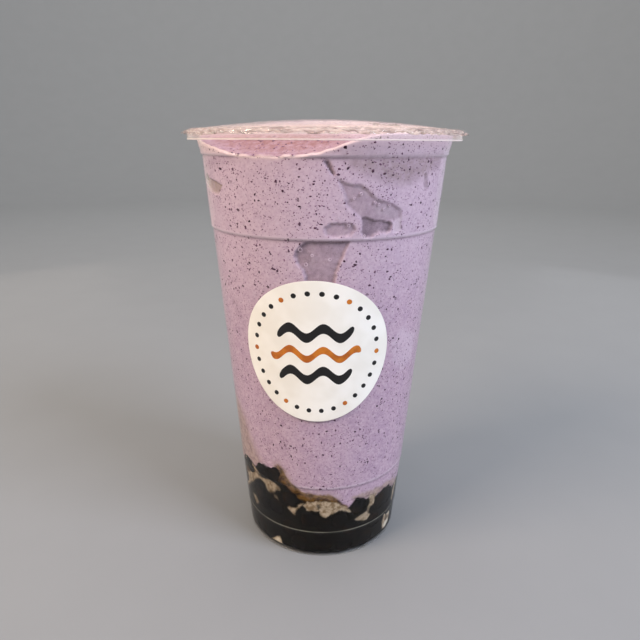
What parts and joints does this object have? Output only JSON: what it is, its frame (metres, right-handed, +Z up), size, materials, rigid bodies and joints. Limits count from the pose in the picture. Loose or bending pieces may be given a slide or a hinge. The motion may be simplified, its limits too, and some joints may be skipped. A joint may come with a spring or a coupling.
{
  "type": "ube smoothie in a sealed cup",
  "caption": "Tall tapered clear cup with a rolled rim, sealed by a domed clear film, filled with a speckled purple smoothie over dark tapioca pearls, with a round label.",
  "frame": {"origin": "centre of the cup's foot ring, on the surface that the cup stands on", "axes": "+Z up along the cup's axis; -Y is the front, where the label is; +X is to the right when the label is looked at"},
  "size_m": [0.0992, 0.0992, 0.1602],
  "materials": {
    "clear_cup": "gloss",
    "smoothie": "satin",
    "pearls_in_syrup": "gloss",
    "clear_film": "gloss",
    "label_paper": "matte"
  },
  "bodies": {
    "root": {"cup": "clear_cup", "smoothie": "smoothie", "pearl_bed": "pearls_in_syrup", "sealing_film": "clear_film", "label": "label_paper"}
  },
  "joints": []
}
